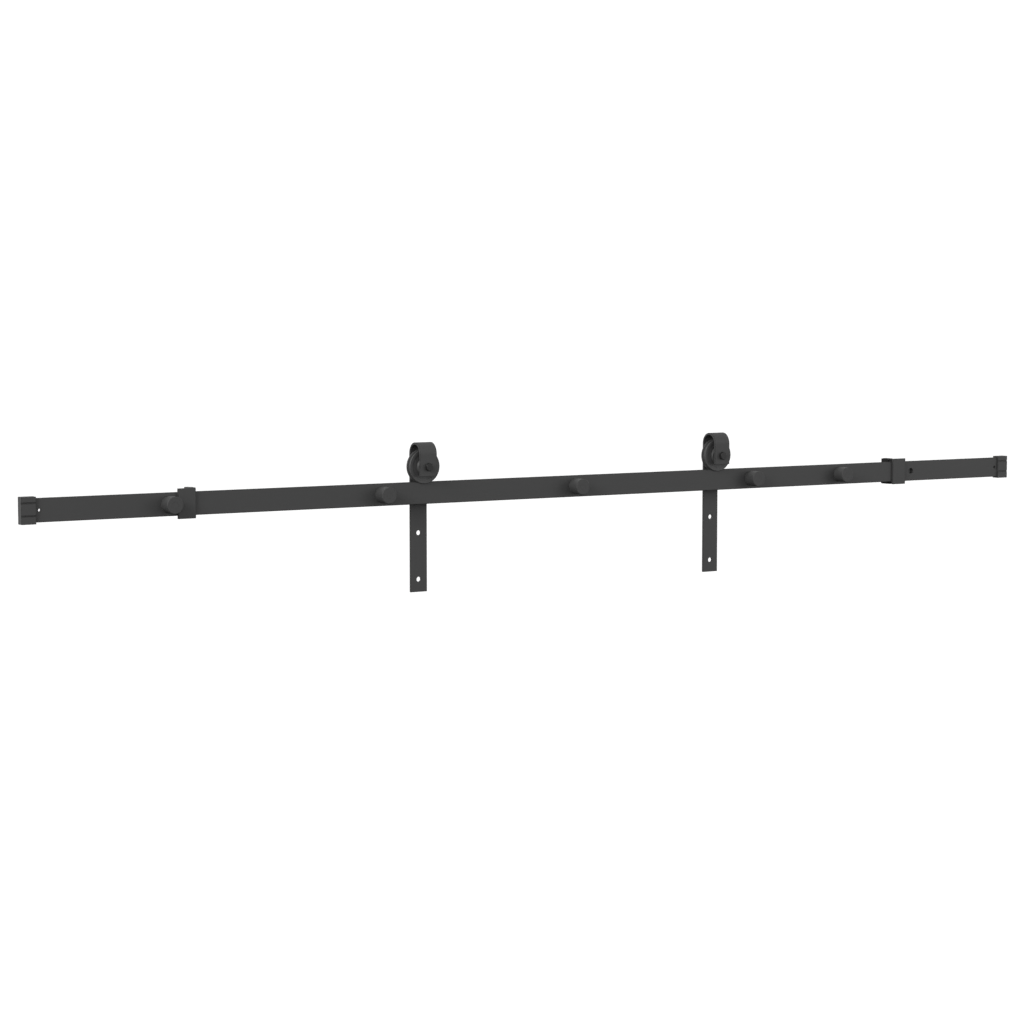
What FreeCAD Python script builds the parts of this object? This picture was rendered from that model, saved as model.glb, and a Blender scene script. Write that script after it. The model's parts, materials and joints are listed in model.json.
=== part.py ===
import FreeCAD, Part

import math
import os

from FreeCAD import Vector

# Sliding door track with two roller hangers, in millimetres.
# X runs along the rail, -Y points at the wall, +Y into the room, +Z is up.
# The origin is the centre of the middle spacer's wall face, so the wall is y = 0.

# --- rail -------------------------------------------------------------------------
RAIL_HEIGHT = 30.0
RAIL_THICK = 5.0
RAIL_LENGTH = 1605.0
RAIL_EDGE_BREAK = 0.5
EDGE_BREAK = 0.4
FIT = 0.1
WALL_GAP = 20.0
BOLT_PITCH = 305.0
EXTRA_BOLT_X = 470.0
BOLT_HOLE_R = 4.2
END_HOLE_R = 2.0
END_HOLE_X = 780.5

# --- spacers and the bolts through them ---------------------------------------------
SPACER_R = 11.0
SPACER_BORE_R = 4.05
SPACER_CHAMFER = 0.6
RAIL_BOLT_R = 4.0
RAIL_BOLT_FLATS = 13.0
RAIL_BOLT_HEAD = 5.3
RAIL_WASHER_R = 8.0
RAIL_WASHER_THICK = 1.6
PLUG_HEAD_R = 6.0
PLUG_HEAD_THICK = 2.0
PLUG_DEPTH = 1.5

# --- end stops: a cap over each end of the rail, with two grooves across its wall side ----
CAP_LENGTH = 19.2
CAP_HEIGHT = 34.0
CAP_WALL = 2.4
CAP_END_WALL = 2.5
CAP_GROOVE_Z = (9.4, -6.6)
CAP_GROOVE_WIDTH = 1.6
CAP_GROOVE_DEPTH = 1.1
CAP_PAD_THICK = 1.8
CAP_PAD_MARGIN = 1.0
CAP_SCREW_R = 2.5
CAP_SCREW_LENGTH = 5.0
CAP_SOCKET_FLATS = 2.5
CAP_SOCKET_DEPTH = 2.5

# --- door stops: a plate and a block bolted across the rail ---------------------------
STOP_INNER_X = {"left": 574.6, "right": 572.1}
STOP_HEIGHT = 38.8
STOP_CENTRE_Z = 0.4
STOP_PLATE_WIDTH = 24.3
STOP_PLATE_THICK = 3.0
STOP_BLOCK_WIDTH = 6.0
STOP_BLOCK_DEPTH = 15.4
STOP_SCREW_R = 1.25
STOP_SCREW_Z = 16.8
STOP_SCREW_HEAD_R = 1.9
STOP_SCREW_HEAD = 1.6
STOP_SOCKET_FLATS = 1.5
STOP_SOCKET_DEPTH = 0.8
STOP_SCREW_SKIN = 1.0
BUMPER_THICK = 3.6
BUMPER_MARGIN = 0.3
BUMPER_CORNER_R = 1.2

# --- hangers --------------------------------------------------------------------------
HANGER_X = {"left": -241.8, "right": 243.7}
STRAP_WIDTH = 25.4
STRAP_THICK = 3.0
STRAP_INNER_R = 12.5
STRAP_TOP_ABOVE_AXLE = 32.5
STRAP_NEAR_BELOW_AXLE = 12.7
STRAP_FAR_BELOW_AXLE = 170.7
DOOR_HOLE_R = 3.5
DOOR_HOLE_BELOW_AXLE = (90.5, 153.5)

# --- axle bolt, collars and nut ---------------------------------------------------------
AXLE_R = 3.0
AXLE_RUN_CLEARANCE = 0.05
AXLE_HEAD_FLATS = 10.0
AXLE_HEAD = 4.0
AXLE_WASHER_R = 6.0
AXLE_WASHER_THICK = 1.0
AXLE_NUT = 6.0
AXLE_NUT_HEX = 4.2
AXLE_NUT_CROWN_R = 4.6
AXLE_NUT_CROWN_ROUND = 0.8
AXLE_TAIL = 1.0
AXLE_TIP_CHAMFER = 0.5
COLLAR_R = 5.0
SIDE_CLEARANCE = 0.1

# --- wheel and bearing --------------------------------------------------------------------
TREAD_R = 20.5
TREAD_CLEARANCE = 0.05
FLANGE_R = 23.0
RIM_HALF_WIDTH = 5.0
GROOVE_HALF_WIDTH = 2.9
GROOVE_FLARE = 0.5
FLANGE_EDGE_BREAK = 0.6
RIM_INNER_R = 17.5
RIM_TAPER = 1.0
WEB_HALF_THICK = 4.5
HUB_R = 12.0
HUB_HALF_WIDTH = 7.5
HUB_CHAMFER = 1.5
HUB_LIP_R = 8.2
BEARING_R = 9.5
BEARING_HALF_WIDTH = 3.0
RING_OUTER_R = 7.7
RING_INNER_R = 4.7
BALL_CIRCLE_R = 6.2
BALL_R = 1.75
BALL_COUNT = 7
RACE_R = 1.8
SHIELD_THICK = 0.3
SHIELD_RECESS = 0.25
SHIELD_CLEARANCE = 0.2
CLIP_THICK = 1.0
CLIP_GROOVE_DEPTH = 0.5
CLIP_INNER_R = 8.0
CLIP_GAP = 5.0

# --- worked out from the above --------------------------------------------------------------
RAIL_NEAR = WALL_GAP
RAIL_FAR = RAIL_NEAR + RAIL_THICK
RAIL_MID = RAIL_NEAR + RAIL_THICK / 2
RAIL_TOP = RAIL_HEIGHT / 2
RAIL_END = RAIL_LENGTH / 2
SPACER_X = (-2 * BOLT_PITCH, -BOLT_PITCH, 0.0, BOLT_PITCH, EXTRA_BOLT_X)
PLUG_X = 2 * BOLT_PITCH
AXLE_Z = RAIL_TOP + TREAD_R + TREAD_CLEARANCE
STRAP_OUTER_R = STRAP_INNER_R + STRAP_THICK
LEG_GAP = STRAP_INNER_R - SIDE_CLEARANCE
HEX_CORNER_PER_FLAT = 1 / math.sqrt(3)
HEX_FACE_PER_FLAT = 0.49
SIDES = {"left": -1, "right": 1}
OVERCUT = 1.0
SAME_PLACE = 0.01
PARALLEL = 0.999


def box(x, y, z):
    """A block from three (low, high) pairs, given in either order."""
    low = Vector(min(x), min(y), min(z))
    return Part.makeBox(max(x) - low.x, max(y) - low.y, max(z) - low.z, low)


def rod(radius, x, z, y_from, y_to):
    """A cylinder along Y."""
    start = Vector(x, min(y_from, y_to), z)
    return Part.makeCylinder(radius, abs(y_to - y_from), start, Vector(0, 1, 0))


def tube(outer, inner, x, z, y_from, y_to):
    """A round ring along Y."""
    return rod(outer, x, z, y_from, y_to).cut(rod(inner, x, z, y_from, y_to))


def hexagon(flats, x, z, y_from, y_to):
    """A hexagonal prism along Y with its outer corners turned off at both ends."""
    corner = flats * HEX_CORNER_PER_FLAT
    points = []
    for step in range(7):
        angle = math.radians(60 * step)
        points.append(Vector(x + corner * math.sin(angle), y_from, z + corner * math.cos(angle)))
    prism = Part.Face(Part.makePolygon(points)).extrude(Vector(0, y_to - y_from, 0))
    blank = rod(corner, x, z, y_from, y_to)
    blank = blank.makeChamfer(corner - flats * HEX_FACE_PER_FLAT, circles(blank))
    return prism.common(blank)


def circles(shape):
    """The full circular edges of a shape."""
    return [edge for edge in shape.Edges if isinstance(edge.Curve, Part.Circle) and edge.isClosed()]


def outer_rim(shape, y):
    """The circular edges of a shape that lie at one y."""
    return [edge for edge in circles(shape) if abs(edge.Curve.Center.y - y) < SAME_PLACE]


def long_edges(shape, direction, at_least):
    """Straight edges along one direction, at least so long."""
    found = []
    for edge in shape.Edges:
        if not isinstance(edge.Curve, Part.Line) or edge.Length < at_least:
            continue
        if abs(edge.Curve.Direction.dot(direction)) > PARALLEL:
            found.append(edge)
    return found


def turned(outline, x, z):
    """A closed outline of (radius, y) points turned about the Y line through (x, z)."""
    points = [Vector(radius, y, 0) for radius, y in outline]
    face = Part.Face(Part.makePolygon(points + points[:1]))
    solid = face.revolve(Vector(0, 0, 0), Vector(0, 1, 0), 360)
    solid.translate(Vector(x, 0, z))
    return solid


def write(node, *solids):
    """One STEP file for a node, holding one or more separate solids."""
    shape = solids[0] if len(solids) == 1 else Part.makeCompound(list(solids))
    shape.exportStep("parts/" + node + ".step")


def rail_bar():
    bar = box((-RAIL_END, RAIL_END), (RAIL_NEAR, RAIL_FAR), (-RAIL_TOP, RAIL_TOP))
    bar = bar.makeChamfer(RAIL_EDGE_BREAK, long_edges(bar, Vector(1, 0, 0), RAIL_LENGTH / 2))
    for x in SPACER_X + (PLUG_X,):
        bar = bar.cut(rod(BOLT_HOLE_R, x, 0, RAIL_NEAR, RAIL_FAR))
    for x in (-END_HOLE_X, END_HOLE_X):
        bar = bar.cut(rod(END_HOLE_R, x, 0, RAIL_NEAR, RAIL_FAR))
    return bar


def wall_spacer(x):
    body = rod(SPACER_R, x, 0, 0, WALL_GAP)
    body = body.makeChamfer(SPACER_CHAMFER, circles(body))
    return body.cut(rod(SPACER_BORE_R, x, 0, 0, WALL_GAP))


def rail_bolt(x):
    """A hexagon bolt from the room side, its end flush with the spacer's wall face."""
    seat = RAIL_FAR + RAIL_WASHER_THICK
    head = hexagon(RAIL_BOLT_FLATS, x, 0, seat, seat + RAIL_BOLT_HEAD)
    return head.fuse(rod(RAIL_BOLT_R, x, 0, 0, seat)).removeSplitter()


def rail_washer(x):
    return tube(RAIL_WASHER_R, BOLT_HOLE_R, x, 0, RAIL_FAR, RAIL_FAR + RAIL_WASHER_THICK)


def hole_plug():
    """A push-in plug that closes the spare hole from the room side."""
    head = rod(PLUG_HEAD_R, PLUG_X, 0, RAIL_FAR, RAIL_FAR + PLUG_HEAD_THICK)
    head = head.makeFillet(PLUG_HEAD_THICK / 2, outer_rim(head, RAIL_FAR + PLUG_HEAD_THICK))
    return head.fuse(rod(BOLT_HOLE_R, PLUG_X, 0, RAIL_FAR - PLUG_DEPTH, RAIL_FAR)).removeSplitter()


def cap_span(side):
    """The x of a cap's end over the rail and of its shut end."""
    outer_x = side * (RAIL_END + CAP_END_WALL)
    return outer_x - side * CAP_LENGTH, outer_x


def end_stop_cap(side):
    """A cap that slips over the rail, shut at the rail's end and grooved across its wall side."""
    inner_x, outer_x = cap_span(side)
    near = RAIL_NEAR - FIT - CAP_WALL
    web = RAIL_FAR + CAP_PAD_THICK
    far = web + CAP_WALL
    cap = box((inner_x, outer_x), (near, far), (-CAP_HEIGHT / 2, CAP_HEIGHT / 2))
    cap = cap.makeFillet(EDGE_BREAK, cap.Edges)
    cap = cap.cut(box((inner_x - side * OVERCUT, side * RAIL_END), (RAIL_NEAR - FIT, web),
                      (-RAIL_TOP - FIT, RAIL_TOP + FIT)))
    for z in CAP_GROOVE_Z:
        cap = cap.cut(box((inner_x, outer_x), (near, near + CAP_GROOVE_DEPTH),
                          (z - CAP_GROOVE_WIDTH / 2, z + CAP_GROOVE_WIDTH / 2)))
    return cap.cut(rod(CAP_SCREW_R, (inner_x + outer_x) / 2, 0, web, far))


def end_stop_pad(side):
    """The soft pad between the rail and the cap's room wall."""
    inner_x = cap_span(side)[0] + side * CAP_PAD_MARGIN
    return box((inner_x, side * RAIL_END), (RAIL_FAR, RAIL_FAR + CAP_PAD_THICK), (-RAIL_TOP, RAIL_TOP))


def end_stop_screw(side):
    """A socket set screw through the cap's room wall, bearing on the pad."""
    x = sum(cap_span(side)) / 2
    start = RAIL_FAR + CAP_PAD_THICK
    end = start + CAP_SCREW_LENGTH
    socket = hexagon(CAP_SOCKET_FLATS, x, 0, end - CAP_SOCKET_DEPTH, end + OVERCUT)
    return rod(CAP_SCREW_R, x, 0, start, end).cut(socket)


def stop_span(name, start, end):
    """The (low, high) x of a door stop's piece, from two distances outward of its inner face."""
    inner = STOP_INNER_X[name]
    return SIDES[name] * (inner + start), SIDES[name] * (inner + end)


def stop_height(margin=0.0):
    """The (low, high) z of a door stop's piece, drawn in by a margin."""
    half = STOP_HEIGHT / 2 - margin
    return STOP_CENTRE_Z - half, STOP_CENTRE_Z + half


def stop_screw_holes(name, solid, y_from, y_to):
    x = stop_span(name, 0, STOP_BLOCK_WIDTH / 2)[1]
    for z in (-STOP_SCREW_Z, STOP_SCREW_Z):
        solid = solid.cut(rod(STOP_SCREW_R, x, z, y_from, y_to))
    return solid


def door_stop_plate(name):
    near = RAIL_NEAR - STOP_PLATE_THICK
    plate = box(stop_span(name, 0, STOP_PLATE_WIDTH), (near, RAIL_NEAR), stop_height())
    plate = plate.makeFillet(EDGE_BREAK, plate.Edges)
    return stop_screw_holes(name, plate, near + STOP_SCREW_SKIN, RAIL_NEAR)


def door_stop_block(name):
    room_face = RAIL_FAR + STOP_BLOCK_DEPTH
    block = box(stop_span(name, 0, STOP_BLOCK_WIDTH), (RAIL_FAR, room_face), stop_height())
    block = block.makeFillet(EDGE_BREAK, block.Edges)
    return stop_screw_holes(name, block, RAIL_FAR, room_face)


def door_stop_screws(name):
    """Two round-head socket screws that pass over and under the rail into the plate."""
    x = stop_span(name, 0, STOP_BLOCK_WIDTH / 2)[1]
    seat = RAIL_FAR + STOP_BLOCK_DEPTH
    top = seat + STOP_SCREW_HEAD
    screws = []
    for z in (-STOP_SCREW_Z, STOP_SCREW_Z):
        head = rod(STOP_SCREW_HEAD_R, x, z, seat, top)
        head = head.makeFillet(STOP_SCREW_HEAD / 2, outer_rim(head, top))
        socket = hexagon(STOP_SOCKET_FLATS, x, z, top - STOP_SOCKET_DEPTH, top + OVERCUT)
        shank = rod(STOP_SCREW_R, x, z, RAIL_NEAR - STOP_PLATE_THICK + STOP_SCREW_SKIN, seat)
        screws.append(head.cut(socket).fuse(shank).removeSplitter())
    return screws


def door_stop_bumper(name):
    """A rubber pad on the block's inner face, which the wheel's flange meets."""
    room_face = RAIL_FAR + STOP_BLOCK_DEPTH - BUMPER_MARGIN
    pad = box(stop_span(name, -BUMPER_THICK, 0), (RAIL_FAR + BUMPER_MARGIN, room_face),
              stop_height(BUMPER_MARGIN))
    return pad.makeFillet(BUMPER_CORNER_R, long_edges(pad, Vector(1, 0, 0), BUMPER_THICK / 2))


def strap(x):
    """A flat bar bent over the wheel: a short leg on the wall side, a long one in the room."""
    bend_z = AXLE_Z + STRAP_TOP_ABOVE_AXLE - STRAP_OUTER_R
    near_z = AXLE_Z - STRAP_NEAR_BELOW_AXLE
    far_z = AXLE_Z - STRAP_FAR_BELOW_AXLE
    left = x - STRAP_WIDTH / 2

    def at(offset, z):
        return Vector(left, RAIL_MID + offset, z)

    def bend(radius):
        return Part.Arc(at(-radius, bend_z), at(0, bend_z + radius), at(radius, bend_z)).toShape()

    edges = [
        Part.makeLine(at(-STRAP_OUTER_R, near_z), at(-STRAP_OUTER_R, bend_z)),
        bend(STRAP_OUTER_R),
        Part.makeLine(at(STRAP_OUTER_R, bend_z), at(STRAP_OUTER_R, far_z)),
        Part.makeLine(at(STRAP_OUTER_R, far_z), at(STRAP_INNER_R, far_z)),
        Part.makeLine(at(STRAP_INNER_R, far_z), at(STRAP_INNER_R, bend_z)),
        bend(STRAP_INNER_R),
        Part.makeLine(at(-STRAP_INNER_R, bend_z), at(-STRAP_INNER_R, near_z)),
        Part.makeLine(at(-STRAP_INNER_R, near_z), at(-STRAP_OUTER_R, near_z)),
    ]
    outline = Part.Wire(Part.__sortEdges__(edges))
    bar = Part.Face(outline).extrude(Vector(STRAP_WIDTH, 0, 0))
    bar = bar.makeFillet(EDGE_BREAK, bar.Edges)
    room_face = RAIL_MID + STRAP_OUTER_R
    bar = bar.cut(rod(AXLE_R, x, AXLE_Z, RAIL_MID - STRAP_OUTER_R - OVERCUT, room_face + OVERCUT))
    for below in DOOR_HOLE_BELOW_AXLE:
        bar = bar.cut(rod(DOOR_HOLE_R, x, AXLE_Z - below, RAIL_MID, room_face + OVERCUT))
    return bar


def axle_bolt(x):
    """A hexagon bolt with its head on the wall side."""
    near = RAIL_MID - STRAP_OUTER_R
    end = RAIL_MID + STRAP_OUTER_R + AXLE_WASHER_THICK + AXLE_NUT + AXLE_TAIL
    head = hexagon(AXLE_HEAD_FLATS, x, AXLE_Z, near - AXLE_HEAD, near)
    shank = rod(AXLE_R, x, AXLE_Z, near, end)
    shank = shank.makeChamfer(AXLE_TIP_CHAMFER, outer_rim(shank, end))
    return head.fuse(shank).removeSplitter()


def axle_washer(x):
    face = RAIL_MID + STRAP_OUTER_R
    return tube(AXLE_WASHER_R, AXLE_R, x, AXLE_Z, face, face + AXLE_WASHER_THICK)


def axle_nut(x):
    """A locking nut with a round crown on a hexagon."""
    face = RAIL_MID + STRAP_OUTER_R + AXLE_WASHER_THICK
    top = face + AXLE_NUT
    crown = rod(AXLE_NUT_CROWN_R, x, AXLE_Z, face, top)
    crown = crown.makeFillet(AXLE_NUT_CROWN_ROUND, outer_rim(crown, top))
    nut = hexagon(AXLE_HEAD_FLATS, x, AXLE_Z, face, face + AXLE_NUT_HEX).fuse(crown)
    return nut.cut(rod(AXLE_R, x, AXLE_Z, face - OVERCUT, top + OVERCUT)).removeSplitter()


def collar(x, direction):
    """A sleeve between the bearing's inner ring and one leg of the strap."""
    start = RAIL_MID + direction * BEARING_HALF_WIDTH
    end = RAIL_MID + direction * LEG_GAP
    sleeve = rod(COLLAR_R, x, AXLE_Z, start, end)
    sleeve = sleeve.makeChamfer(EDGE_BREAK, circles(sleeve))
    return sleeve.cut(rod(AXLE_R + AXLE_RUN_CLEARANCE, x, AXLE_Z, start, end))


def wheel(x):
    """A grooved roller: tread between two flanges, a thin web and a hub with a bearing seat."""
    flare = GROOVE_HALF_WIDTH + GROOVE_FLARE
    rim = RIM_HALF_WIDTH
    half = [
        (TREAD_R, GROOVE_HALF_WIDTH),
        (FLANGE_R - FLANGE_EDGE_BREAK, flare),
        (FLANGE_R, flare + FLANGE_EDGE_BREAK),
        (FLANGE_R, rim - FLANGE_EDGE_BREAK),
        (FLANGE_R - FLANGE_EDGE_BREAK, rim),
        (RIM_INNER_R + RIM_TAPER, rim),
        (RIM_INNER_R, WEB_HALF_THICK),
        (HUB_R, WEB_HALF_THICK),
        (HUB_R, HUB_HALF_WIDTH - HUB_CHAMFER),
        (HUB_R - HUB_CHAMFER, HUB_HALF_WIDTH),
    ]
    near = [(radius, RAIL_MID - y) for radius, y in half]
    far = [(radius, RAIL_MID + y) for radius, y in reversed(half)]
    seat = RAIL_MID + BEARING_HALF_WIDTH
    bore = [
        (BEARING_R, RAIL_MID - HUB_HALF_WIDTH),
        (BEARING_R, seat),
        (HUB_LIP_R, seat),
        (HUB_LIP_R, RAIL_MID + HUB_HALF_WIDTH),
    ]
    blank = turned(near + bore + far, x, AXLE_Z)
    clip_far = RAIL_MID - BEARING_HALF_WIDTH
    groove = rod(BEARING_R + CLIP_GROOVE_DEPTH, x, AXLE_Z, clip_far - CLIP_THICK, clip_far)
    return blank.cut(groove)


def race(x):
    torus = Part.makeTorus(BALL_CIRCLE_R, RACE_R, Vector(0, 0, 0), Vector(0, 1, 0))
    torus.translate(Vector(x, RAIL_MID, AXLE_Z))
    return torus


def bearing_span():
    return RAIL_MID - BEARING_HALF_WIDTH, RAIL_MID + BEARING_HALF_WIDTH


def bearing_outer_ring(x):
    ring = tube(BEARING_R, RING_OUTER_R, x, AXLE_Z, *bearing_span())
    return ring.cut(race(x))


def bearing_inner_ring(x):
    ring = tube(RING_INNER_R, AXLE_R + AXLE_RUN_CLEARANCE, x, AXLE_Z, *bearing_span())
    return ring.cut(race(x))


def bearing_balls(x):
    balls = []
    for step in range(BALL_COUNT):
        angle = 2 * math.pi * step / BALL_COUNT
        centre = Vector(x + BALL_CIRCLE_R * math.sin(angle), RAIL_MID,
                        AXLE_Z + BALL_CIRCLE_R * math.cos(angle))
        balls.append(Part.makeSphere(BALL_R, centre))
    return balls


def bearing_shields(x):
    """A thin disc closing each side of the bearing, held by the outer ring."""
    discs = []
    for direction in (-1, 1):
        face = RAIL_MID + direction * (BEARING_HALF_WIDTH - SHIELD_RECESS)
        discs.append(tube(RING_OUTER_R, RING_INNER_R + SHIELD_CLEARANCE, x, AXLE_Z,
                          face, face - direction * SHIELD_THICK))
    return discs


def retaining_ring(x):
    """An open spring ring in the hub's groove that keeps the bearing in its seat."""
    far = RAIL_MID - BEARING_HALF_WIDTH
    ring = tube(BEARING_R + CLIP_GROOVE_DEPTH, CLIP_INNER_R, x, AXLE_Z, far - CLIP_THICK, far)
    gap = box((x - CLIP_GAP / 2, x + CLIP_GAP / 2), (far - CLIP_THICK, far),
              (AXLE_Z - BEARING_R - OVERCUT, AXLE_Z - CLIP_INNER_R + OVERCUT))
    return ring.cut(gap)


def track():
    write("rail_bar", rail_bar())
    for number, x in enumerate(SPACER_X, start=1):
        write("wall_spacer_%d" % number, wall_spacer(x))
        write("rail_bolt_%d" % number, rail_bolt(x))
    write("rail_washers", *[rail_washer(x) for x in SPACER_X])
    write("hole_plug", hole_plug())
    for name, side in SIDES.items():
        write("end_stop_cap_" + name, end_stop_cap(side))
        write("end_stop_pad_" + name, end_stop_pad(side))
        write("end_stop_screw_" + name, end_stop_screw(side))
        write("door_stop_plate_" + name, door_stop_plate(name))
        write("door_stop_block_" + name, door_stop_block(name))
        write("door_stop_bumper_" + name, door_stop_bumper(name))
        write("door_stop_screws_" + name, *door_stop_screws(name))


def hanger(name, x):
    write("strap_" + name, strap(x))
    write("axle_bolt_" + name, axle_bolt(x))
    write("axle_washer_" + name, axle_washer(x))
    write("axle_nut_" + name, axle_nut(x))
    write("wall_collar_" + name, collar(x, -1))
    write("room_collar_" + name, collar(x, 1))
    write("wheel_" + name, wheel(x))
    write("retaining_ring_" + name, retaining_ring(x))
    write("bearing_outer_ring_" + name, bearing_outer_ring(x))
    write("bearing_inner_ring_" + name, bearing_inner_ring(x))
    write("bearing_balls_" + name, *bearing_balls(x))
    write("bearing_shields_" + name, *bearing_shields(x))


os.makedirs("parts", exist_ok=True)
track()
for name, x in HANGER_X.items():
    hanger(name, x)
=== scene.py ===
import json
import math

import bpy
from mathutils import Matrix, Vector


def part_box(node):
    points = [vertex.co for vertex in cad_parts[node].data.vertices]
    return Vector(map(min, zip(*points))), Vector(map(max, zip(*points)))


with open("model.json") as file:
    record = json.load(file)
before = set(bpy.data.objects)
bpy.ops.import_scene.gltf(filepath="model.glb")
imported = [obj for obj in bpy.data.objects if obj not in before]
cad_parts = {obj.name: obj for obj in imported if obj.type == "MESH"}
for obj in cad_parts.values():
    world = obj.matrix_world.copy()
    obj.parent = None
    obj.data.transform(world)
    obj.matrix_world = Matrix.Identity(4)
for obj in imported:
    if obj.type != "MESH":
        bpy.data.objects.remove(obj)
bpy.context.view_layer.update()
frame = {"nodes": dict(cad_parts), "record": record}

MM = 0.001
SIDES = ("left", "right")

# The camera stands on the wall side, left of the rail's left end and a little above it.
CAMERA_PLACE = (-1.7948, -2.7520, 0.2414)
CAMERA_YAW = 31.388
CAMERA_PITCH = -4.809
SENSOR_WIDTH = 36.0
LENS = 83.461
VIEW_DEPTH = 100.0

# The studio: a floor far below, an overcast-white sky and two softboxes.
FLOOR_Z = -2.0
FLOOR_SIZE = 60.0
FLOOR_TONES = (0.93, 0.95)
FLOOR_PATCH = 0.7
FLOOR_ROUGHNESS = 0.8
FLOOR_GLOW = 0.35
GROUND_LIGHT = 0.08
HORIZON_LIGHT = 1.24
ZENITH_LIGHT = 0.50
GROUND_TOP = -0.26
HORIZON_BOTTOM = -0.03
KEY_PLACE = (-4.0, -1.4, 1.9)
KEY_SIZE = 1.6
KEY_POWER = 120.0
FILL_PLACE = (3.0, -2.8, 0.7)
FILL_SIZE = 1.8
FILL_POWER = 24.0

# Noise comes out mostly between these two values.
NOISE_LOW = 0.3
NOISE_HIGH = 0.7

# How far the bevelled normal leans from the true one (as a cosine) off an edge and on it.
OFF_EDGE = 0.995
ON_EDGE = 0.93

# Round parts get less painted shade along their edges than bars do.
ROUND_PARTS = ("wall_spacer", "rail_bolt", "rail_washers")
BAR_EDGE_SHADE = 0.8
ROUND_EDGE_SHADE = 0.12


# --- node helpers ---------------------------------------------------------------------
class Nodes:
    """A new material with its Principled shader, and short calls to add nodes to it."""

    def __init__(self, name):
        self.material = bpy.data.materials.new(name)
        self.material.use_nodes = True
        self.tree = self.material.node_tree
        self.shader = self.tree.nodes["Principled BSDF"]

    def add(self, kind, **inputs):
        node = self.tree.nodes.new(kind)
        for name, value in inputs.items():
            self.feed(node.inputs[name.replace("_", " ")], value)
        return node

    def feed(self, socket, value):
        if hasattr(value, "is_output"):
            self.tree.links.new(value, socket)
        else:
            socket.default_value = value

    def noise(self, size, detail=3.0, roughness=0.5, at=None):
        """Noise whose largest lumps are about this size in metres."""
        node = self.add("ShaderNodeTexNoise", Scale=1 / size, Detail=detail, Roughness=roughness)
        self.feed(node.inputs["Vector"], at or self.place())
        return node.outputs["Fac"]

    def place(self):
        return self.add("ShaderNodeTexCoord").outputs["Object"]

    def spread(self, value, low, high, to_low, to_high):
        """The value moved from one range to another, and held inside it."""
        node = self.add("ShaderNodeMapRange")
        for socket, number in zip(node.inputs, (value, low, high, to_low, to_high)):
            self.feed(socket, number)
        return node.outputs["Result"]

    def math(self, operation, first, second=0.0):
        node = self.tree.nodes.new("ShaderNodeMath")
        node.operation = operation
        self.feed(node.inputs[0], first)
        self.feed(node.inputs[1], second)
        return node.outputs[0]

    def mix(self, factor, first, second):
        node = self.tree.nodes.new("ShaderNodeMix")
        node.data_type = "RGBA"
        self.feed(node.inputs["Factor"], factor)
        for name, value in (("A", first), ("B", second)):
            socket = next(s for s in node.inputs if s.name == name and s.type == "RGBA")
            self.feed(socket, value)
        return next(s for s in node.outputs if s.type == "RGBA")

    def bump(self, height, distance, strength=1.0, under=None):
        node = self.add("ShaderNodeBump", Height=height, Distance=distance, Strength=strength)
        if under:
            self.feed(node.inputs["Normal"], under)
        return node.outputs["Normal"]

    def edges(self, radius):
        """1 along convex and concave edges, 0 on flat faces."""
        soft = self.add("ShaderNodeBevel", Radius=radius).outputs["Normal"]
        product = self.tree.nodes.new("ShaderNodeVectorMath")
        product.operation = "DOT_PRODUCT"
        self.feed(product.inputs[0], soft)
        self.feed(product.inputs[1], self.add("ShaderNodeNewGeometry").outputs["Normal"])
        return self.spread(product.outputs["Value"], OFF_EDGE, ON_EDGE, 0.0, 1.0)

    def grain(self, noise, to_low, to_high):
        """Noise stretched over a range."""
        return self.spread(noise, NOISE_LOW, NOISE_HIGH, to_low, to_high)

    def finish(self, **sockets):
        for name, value in sockets.items():
            self.feed(self.shader.inputs[name.replace("_", " ")], value)
        return self.material


def grey(value, warmth=0.0):
    """A grey, a little warm or (below 0) cool."""
    return (value * (1 + warmth), value, value * (1 - warmth), 1.0)


# --- materials --------------------------------------------------------------------------
def powder_coat(name, edge_shade):
    """Fine-texture polyester powder: a pebbled skin, faint clouding, and painted shade along its
    edges and corners.
    """
    n = Nodes(name)
    pebble = n.noise(0.4 * MM, 2.0, 0.55)
    flow = n.noise(2.4 * MM, 2.0, 0.5)
    cloud = n.noise(110 * MM, 4.0, 0.6)
    tone = n.mix(cloud, grey(0.045), grey(0.049))
    tone = n.mix(n.grain(pebble, 0.0, 0.25), tone, grey(0.064))
    # Painted shade: edges and inside corners are darkened in the base colour rather than by the
    # light.
    painted_edge_shade = n.math("MULTIPLY", n.edges(1.4 * MM), edge_shade)
    tone = n.mix(painted_edge_shade, tone, grey(0.010))
    scuffs = n.spread(n.noise(6 * MM, 5.0, 0.7), 0.52, 0.72, 0.0, 0.5)
    rubbed = n.math("MULTIPLY", n.edges(0.5 * MM), scuffs)
    tone = n.mix(rubbed, tone, grey(0.070, 0.01))
    skin = n.bump(pebble, 0.06 * MM, 0.5)
    skin = n.bump(flow, 0.12 * MM, 0.35, skin)
    rough = n.spread(n.math("ADD", cloud, pebble), 0.6, 1.4, 0.50, 0.62)
    return n.finish(Base_Color=tone, Roughness=rough, Normal=skin, Specular_IOR_Level=0.25)


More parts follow.
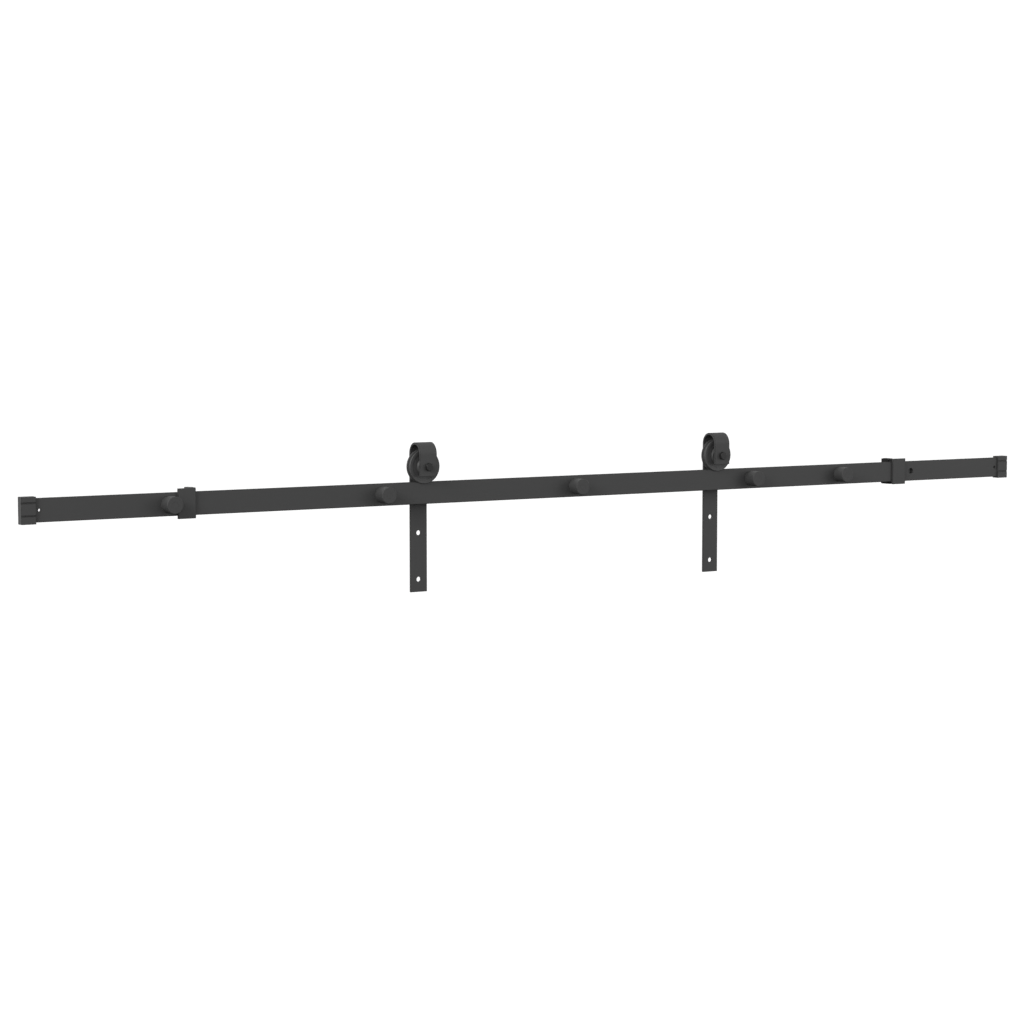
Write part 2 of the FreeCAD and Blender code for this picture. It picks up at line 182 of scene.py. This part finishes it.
def roller_coat(name, axle):
    """Turned steel under a smoother coat: fine rings about the axle, worn along its edges."""
    n = Nodes(name)
    split = n.add("ShaderNodeSeparateXYZ", Vector=n.place())
    across = n.math("SUBTRACT", split.outputs["X"], axle.x)
    up = n.math("SUBTRACT", split.outputs["Z"], axle.z)
    radius = n.math("SQRT", n.math("ADD", n.math("POWER", across, 2.0), n.math("POWER", up, 2.0)))
    ring_place = n.add("ShaderNodeCombineXYZ", X=radius, Y=split.outputs["Y"]).outputs["Vector"]
    rings = n.noise(0.45 * MM, 3.0, 0.6, ring_place)
    dust = n.noise(16 * MM, 5.0, 0.65)
    worn = n.math("MULTIPLY", n.edges(0.8 * MM), n.spread(dust, 0.35, 0.65, 0.15, 0.8))
    tone = n.mix(dust, grey(0.052), grey(0.064))
    tone = n.mix(worn, tone, grey(0.09, 0.02))
    rough = n.grain(rings, 0.42, 0.54)
    skin = n.bump(rings, 0.05 * MM, 0.5)
    return n.finish(Base_Color=tone, Roughness=rough, Normal=skin, Specular_IOR_Level=0.28)


def black_oxide():
    """Oiled black oxide on cut steel, scuffed to brighter metal on the corners."""
    n = Nodes("black_oxide_finish")
    grain = n.noise(0.65 * MM, 4.0, 0.6)
    patch = n.noise(11 * MM, 4.0, 0.6)
    scuffed = n.math("MULTIPLY", n.edges(0.4 * MM), n.spread(patch, 0.45, 0.7, 0.0, 0.5))
    tone = n.mix(patch, grey(0.010, -0.02), grey(0.017, 0.02))
    tone = n.mix(scuffed, tone, grey(0.06, 0.03))
    rough = n.grain(grain, 0.38, 0.52)
    skin = n.bump(grain, 0.03 * MM, 0.4)
    return n.finish(Base_Color=tone, Roughness=rough, Normal=skin, Specular_IOR_Level=0.3)


def bearing_steel():
    """Ground and polished steel with faint stains."""
    n = Nodes("bearing_steel_finish")
    grind = n.noise(0.33 * MM, 3.0, 0.6)
    stain = n.noise(7 * MM, 4.0, 0.6)
    tone = n.mix(stain, grey(0.42, 0.01), grey(0.30, 0.03))
    rough = n.grain(grind, 0.2, 0.34)
    skin = n.bump(grind, 0.02 * MM, 0.4)
    return n.finish(Base_Color=tone, Roughness=rough, Normal=skin, Metallic=1.0)


def rubber():
    """Moulded rubber: dull, with a fine grain and a dusty bloom."""
    n = Nodes("rubber_finish")
    grain = n.noise(0.3 * MM, 4.0, 0.7)
    bloom = n.noise(8 * MM, 5.0, 0.7)
    tone = n.mix(n.spread(bloom, 0.35, 0.7, 0.0, 1.0), grey(0.008), grey(0.015, 0.02))
    rough = n.grain(grain, 0.72, 0.9)
    skin = n.bump(grain, 0.08 * MM, 0.6)
    return n.finish(Base_Color=tone, Roughness=rough, Normal=skin, Specular_IOR_Level=0.2)


def nylon():
    """Black moulded nylon with a fine spark-eroded grain."""
    n = Nodes("nylon_finish")
    grain = n.noise(0.4 * MM, 3.0, 0.6)
    tone = n.mix(n.noise(14 * MM, 3.0, 0.5), grey(0.010), grey(0.016))
    rough = n.grain(grain, 0.45, 0.6)
    skin = n.bump(grain, 0.04 * MM, 0.5)
    return n.finish(Base_Color=tone, Roughness=rough, Normal=skin)


def paint(node, material):
    slots = frame["nodes"][node].data.materials
    for index in range(len(slots)):
        slots[index] = material


def centre(node):
    low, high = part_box(node)
    return (Vector(low) + Vector(high)) / 2


def paint_all():
    # The two powder coats differ only in how much painted edge shade they carry.
    round_coat = powder_coat("powder_coat_on_round_parts", ROUND_EDGE_SHADE)
    finishes = {
        "powder_coat": powder_coat("powder_coat_on_bars", BAR_EDGE_SHADE),
        "black_oxide": black_oxide(),
        "bearing_steel": bearing_steel(),
        "rubber": rubber(),
        "nylon": nylon(),
    }
    for part in frame["record"]["subparts"]:
        node = part["node"]
        if node.startswith(ROUND_PARTS):
            paint(node, round_coat)
        elif part["material_slot"] in finishes:
            paint(node, finishes[part["material_slot"]])
    for side in SIDES:
        wheel = "wheel_" + side
        paint(wheel, roller_coat("roller_finish_" + side, centre(wheel)))


# --- studio -----------------------------------------------------------------------------
def studio_floor():
    """A pale, faintly glowing floor, which throws no light back up at the rail."""
    n = Nodes("studio_floor")
    tone = n.mix(n.noise(FLOOR_PATCH), *map(grey, FLOOR_TONES))
    bpy.ops.mesh.primitive_plane_add(size=FLOOR_SIZE, location=(0, 0, FLOOR_Z))
    floor = bpy.context.object
    floor.name = "floor"
    paper = n.finish(Base_Color=tone, Roughness=FLOOR_ROUGHNESS, Emission_Color=grey(1.0),
                     Emission_Strength=FLOOR_GLOW)
    floor.data.materials.append(paper)
    floor.visible_diffuse = False
    floor.visible_glossy = False


def studio_world():
    """White round the horizon, softer overhead and dim below."""
    world = bpy.data.worlds.new("studio")
    world.use_nodes = True
    tree = world.node_tree
    direction = tree.nodes.new("ShaderNodeTexCoord").outputs["Generated"]
    split = tree.nodes.new("ShaderNodeSeparateXYZ")
    tree.links.new(direction, split.inputs[0])

    def ramp(low, high, to_low, to_high):
        node = tree.nodes.new("ShaderNodeMapRange")
        tree.links.new(split.outputs["Z"], node.inputs[0])
        for socket, number in zip(list(node.inputs)[1:5], (low, high, to_low, to_high)):
            socket.default_value = number
        return node.outputs["Result"]

    total = tree.nodes.new("ShaderNodeMath")
    total.operation = "ADD"
    tree.links.new(ramp(GROUND_TOP, HORIZON_BOTTOM, GROUND_LIGHT, HORIZON_LIGHT), total.inputs[0])
    tree.links.new(ramp(0.0, 1.0, 0.0, ZENITH_LIGHT - HORIZON_LIGHT), total.inputs[1])
    tree.links.new(total.outputs[0], tree.nodes["Background"].inputs["Strength"])
    tree.nodes["Background"].inputs["Color"].default_value = grey(1.0)
    bpy.context.scene.world = world


def soft_light(name, place, size, power):
    """A square softbox aimed at the origin and out of the camera's sight."""
    light = bpy.data.lights.new(name, "AREA")
    light.size = size
    light.energy = power
    lamp = bpy.data.objects.new(name, light)
    lamp.location = place
    lamp.rotation_euler = (-Vector(place)).to_track_quat("-Z", "Y").to_euler()
    lamp.visible_camera = False
    bpy.context.collection.objects.link(lamp)


def camera():
    data = bpy.data.cameras.new("camera")
    data.sensor_width = SENSOR_WIDTH
    data.lens = LENS
    data.clip_end = VIEW_DEPTH
    body = bpy.data.objects.new("camera", data)
    body.location = CAMERA_PLACE
    body.rotation_euler = (math.radians(90 + CAMERA_PITCH), 0.0, math.radians(-CAMERA_YAW))
    bpy.context.collection.objects.link(body)
    bpy.context.scene.camera = body


paint_all()
studio_floor()
studio_world()
soft_light("key", KEY_PLACE, KEY_SIZE, KEY_POWER)
soft_light("fill", FILL_PLACE, FILL_SIZE, FILL_POWER)
camera()
bpy.context.scene.view_settings.view_transform = "Standard"
